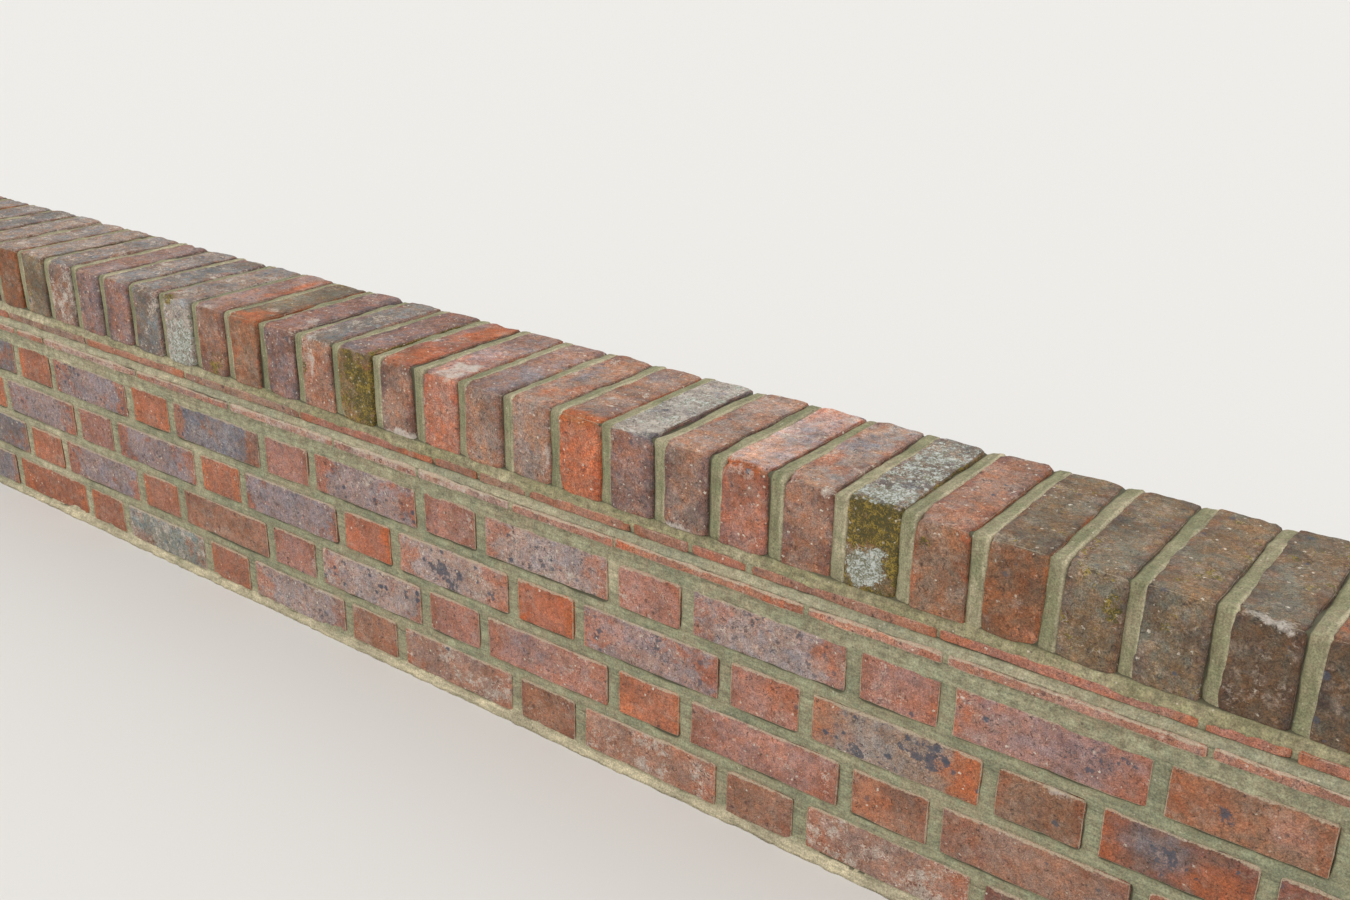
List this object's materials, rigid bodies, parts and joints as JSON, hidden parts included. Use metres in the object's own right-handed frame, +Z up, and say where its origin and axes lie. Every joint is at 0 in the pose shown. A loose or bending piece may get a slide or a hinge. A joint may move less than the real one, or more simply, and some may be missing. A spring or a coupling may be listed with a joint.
{
  "type": "brick garden wall",
  "caption": "Low straight garden wall in Flemish bond, with a double tile creasing and a brick-on-edge coping.",
  "frame": {"origin": "on the ground line, under the middle of the wall's length and thickness", "axes": "+X along the wall to the right as seen from the street, +Y from the street side to the garden side, +Z up"},
  "size_m": [3.2744, 0.237, 0.4735],
  "materials": {
    "stretcher_brick": "fired clay facing brick, mauve and speckled, weathered",
    "header_brick": "fired clay facing brick, orange-red, weathered",
    "mortar": "cement mortar, greenish grey with age, rough",
    "fillet_mortar": "buff mortar fillet, trowelled",
    "creasing_tile": "plain clay tile, salmon red",
    "coping_brick": "fired clay brick, mixed reds and browns with lichen and salts"
  },
  "bodies": {
    "root": {"course_1_mortar": "mortar", "course_1_stretchers": "stretcher_brick", "course_1_headers": "header_brick", "course_2_mortar": "mortar", "course_2_stretchers": "stretcher_brick", "course_2_headers": "header_brick", "course_3_mortar": "mortar", "course_3_stretchers": "stretcher_brick", "course_3_headers": "header_brick", "course_4_mortar": "mortar", "course_4_stretchers": "stretcher_brick", "course_4_headers": "header_brick", "creasing_bed": "mortar", "lower_tiles_front": "creasing_tile", "lower_tiles_back": "creasing_tile", "lower_tile_joints": "mortar", "tile_fillet": "fillet_mortar", "upper_tiles_front": "creasing_tile", "upper_tiles_back": "creasing_tile", "upper_tile_joints": "mortar", "coping_bed": "fillet_mortar", "coping_bricks_1": "coping_brick", "coping_joints_1": "mortar", "coping_bricks_2": "coping_brick", "coping_joints_2": "mortar", "coping_bricks_3": "coping_brick", "coping_joints_3": "mortar", "coping_bricks_4": "coping_brick", "coping_joints_4": "mortar", "coping_bricks_5": "coping_brick", "coping_joints_5": "mortar"}
  },
  "joints": []
}
